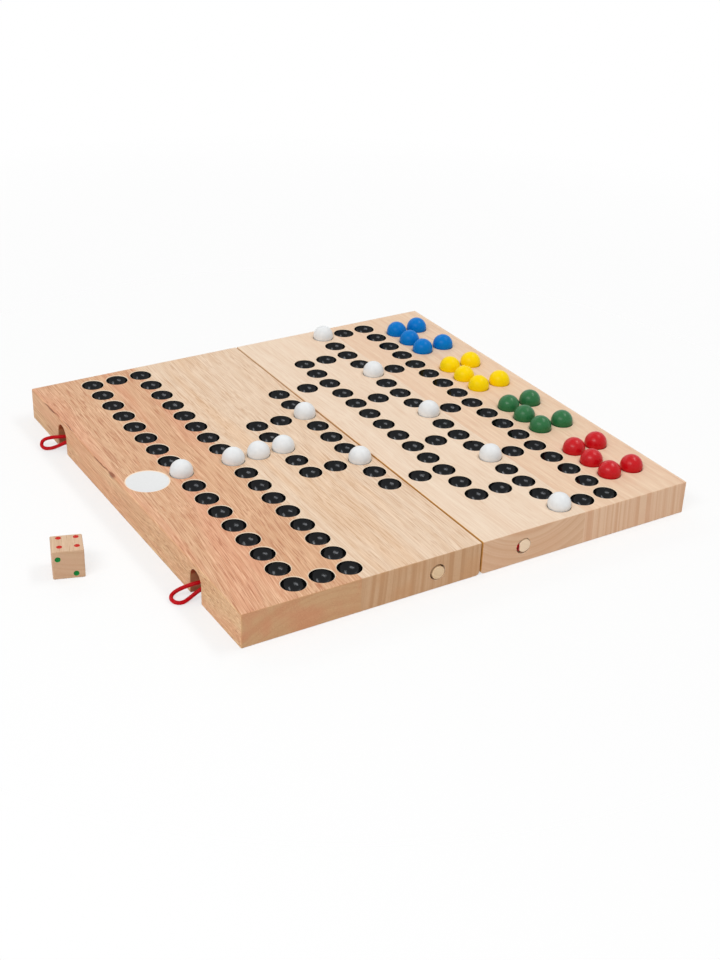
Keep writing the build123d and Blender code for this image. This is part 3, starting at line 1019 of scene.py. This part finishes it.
class BOARDGAME_OT_hinges(bpy.types.Operator):
    """Make the two knotted elastics that join the halves"""

    bl_idname = "boardgame.hinges"
    bl_label = "Hinge elastics"

    def execute(self, context):
        braid = Braid(context.scene.elastic_settings)
        hole_x = RIGHT_SEAM + PLUG_FROM_SEAM
        for end, outward in (("front", -1), ("back", 1)):
            low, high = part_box(f"hinge_elastic_{end}")
            size = high.z - low.z
            height = (low.z + high.z) / 2
            tip, run_y = (low.y, high.y - size / 2) if outward < 0 else (high.y, low.y + size / 2)
            left = Vector((low.x + size / 2, run_y, height))
            right = Vector((high.x - size / 2, run_y, height))
            run = [left.lerp(right, step / RUN_STEPS) for step in range(RUN_STEPS + 1)]
            parts = [braid.cord("hinge_run", curve_object(run), step=BENDING_FACET)]
            parts += [braid.cord("hinge_knot", knot_curve(place, size)) for place in (left, right)]
            reach = tip + outward * TAIL_PROUD - run_y
            tail = [
                Vector((hole_x, run_y + reach * step / TAIL_STEPS, height))
                for step in range(TAIL_STEPS + 1)
            ]
            parts.append(braid.cord("hinge_tail", curve_object(tail), TAIL_SQUEEZE))
            self.pinch(parts[-1], hole_x, height)
            elastic = self.joined(f"hinge_cord_{end}", parts, braid.finish)
            stand_in(elastic, "red_elastic", f"hinge_elastic_{end}")
            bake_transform(elastic)
        return {"FINISHED"}

    def pinch(self, tail, hole_x, hole_z):
        """Flatten a tail, made along the middle of its hole, into the crescent beside the dowel."""
        for vertex in tail.data.vertices:
            away = TAIL_FROM_MIDDLE - TAIL_THINNED * (vertex.co.x - hole_x)
            turn = TAIL_WIDENED * (vertex.co.z - hole_z) / TAIL_FROM_MIDDLE
            vertex.co.x = hole_x - away * cos(turn)
            vertex.co.z = hole_z + away * sin(turn)

    def joined(self, name, pieces, material):
        """One object from several, with their meshes joined."""
        bm = bmesh.new()
        for piece in pieces:
            bm.from_mesh(piece.data)
            bpy.data.objects.remove(piece)
        mesh = mesh_of(bm, name)
        mesh.materials.append(material)
        return link(name, mesh)


# The stage: the floor's size and white, and how far from the middle and how much it lets show what
# hangs below it. Each softbox has its place, width, height and power.
FLOOR_REACH = 3.0
FLOOR_WHITE = (0.94, 0.94, 0.94)
VEIL_FROM, VEIL_TO = (0.15, 0.7), (0.62, 1.0)
SOFTBOXES = {
    "left_softbox": ((-0.85, -0.50, 1.05), 0.90, 0.33, 8.1),
    "right_softbox": ((0.64, -0.16, 1.18), 0.70, 0.25, 5.0),
    "back_softbox": ((0.0, 0.60, 0.55), 0.80, 0.20, 0.7),
}
LONG_SIDE = 36


class BOARDGAME_OT_studio(bpy.types.Operator):
    """Set up the pale floor, the soft light and the camera"""

    bl_idname = "boardgame.studio"
    bl_label = "Studio"

    def execute(self, context):
        studio = context.scene.studio_settings
        self.camera(context, studio)
        self.floor()
        self.world(context, studio.sky)
        for name, values in SOFTBOXES.items():
            self.softbox(name, *values)
        context.scene.view_settings.view_transform = "Standard"
        return {"FINISHED"}

    def camera(self, context, studio):
        camera = link("camera", bpy.data.cameras.new("camera"))
        camera.data.lens = studio.lens
        camera.data.sensor_width = LONG_SIDE
        camera.location = studio.camera_place
        camera.rotation_euler = studio.camera_turn
        context.scene.camera = camera

    def floor(self):
        """A white floor with the object's shadow, which shows what hangs below it through a veil."""
        corners = [(-1, -1), (1, -1), (1, 1), (-1, 1)]
        mesh = bpy.data.meshes.new("floor")
        mesh.from_pydata([(x * FLOOR_REACH, y * FLOOR_REACH, 0) for x, y in corners], [], [range(4)])
        material = bpy.data.materials.new("white_floor")
        material.use_nodes = True
        nodes = Nodes(material.node_tree)
        nodes.tree.nodes.remove(nodes.tree.nodes["Principled BSDF"])
        matt = nodes.fed("ShaderNodeBsdfDiffuse", FLOOR_WHITE)
        clear = nodes.fed("ShaderNodeBsdfTransparent")
        away = nodes.vector("LENGTH", nodes.fed("ShaderNodeTexCoord", out="Object"), out="Value")
        clearing = nodes.span(away, *VEIL_FROM, *VEIL_TO, kind="LINEAR")
        veil = nodes.times(nodes.backdrop_rays(), clearing)
        from_above = nodes.fed("ShaderNodeMixShader", veil, matt, clear)
        below = nodes.fed("ShaderNodeNewGeometry", out="Backfacing")
        both_sides = nodes.fed("ShaderNodeMixShader", below, from_above, clear)
        nodes.feed(nodes.tree.nodes["Material Output"].inputs["Surface"], both_sides)
        mesh.materials.append(material)
        link("floor", mesh)

    def world(self, context, strength):
        """Even white light of the given strength, behind which the camera sees plain white."""
        world = bpy.data.worlds.new("studio")
        context.scene.world = world
        world.use_nodes = True
        nodes = Nodes(world.node_tree)
        light = nodes.tree.nodes["Background"]
        nodes.feed(light.inputs["Strength"], strength)
        nodes.feed(light.inputs["Color"], (1, 1, 1))
        white = nodes.fed("ShaderNodeBackground", (1, 1, 1))
        mix = nodes.fed("ShaderNodeMixShader", nodes.backdrop_rays(), light.outputs[0], white)
        nodes.feed(nodes.tree.nodes["World Output"].inputs["Surface"], mix)

    def softbox(self, name, place, width, height, power):
        """A rectangular lamp that faces the middle of the board."""
        lamp = bpy.data.lights.new(name, "AREA")
        lamp.shape = "RECTANGLE"
        lamp.size, lamp.size_y = width, height
        lamp.energy = power
        box = link(name, lamp)
        box.location = place
        box.rotation_euler = Vector(place).to_track_quat("Z", "Y").to_euler()


class BOARDGAME_PT_panel(bpy.types.Panel):
    """Lists the operators and their settings"""

    bl_label = "Board Game"
    bl_idname = "BOARDGAME_PT_panel"
    bl_space_type = "VIEW_3D"
    bl_region_type = "UI"
    bl_category = "Board Game"

    def draw(self, context):
        for operator in OPERATORS:
            self.layout.operator(operator.bl_idname)
        for group in SETTINGS:
            box = self.layout.box()
            settings = getattr(context.scene, group)
            for name in settings.bl_rna.properties.keys():
                if name not in ("rna_type", "name"):
                    box.prop(settings, name)


SETTINGS = {
    "board_settings": BoardSettings,
    "piece_settings": PieceSettings,
    "elastic_settings": ElasticSettings,
    "studio_settings": StudioSettings,
}
OPERATORS = (
    BOARDGAME_OT_studio, BOARDGAME_OT_loops, BOARDGAME_OT_hinges, BOARDGAME_OT_boards,
    BOARDGAME_OT_dowels, BOARDGAME_OT_balls, BOARDGAME_OT_die,
)
CLASSES = (*SETTINGS.values(), *OPERATORS, BOARDGAME_PT_panel)


def register():
    for item in CLASSES:
        bpy.utils.register_class(item)
    for name, group in SETTINGS.items():
        setattr(bpy.types.Scene, name, PointerProperty(type=group))


def unregister():
    for name in SETTINGS:
        delattr(bpy.types.Scene, name)
    for item in reversed(CLASSES):
        bpy.utils.unregister_class(item)


def main():
    register()
    for operator in OPERATORS:
        group, name = operator.bl_idname.split(".")
        getattr(getattr(bpy.ops, group), name)()


if __name__ == "__main__":
    main()
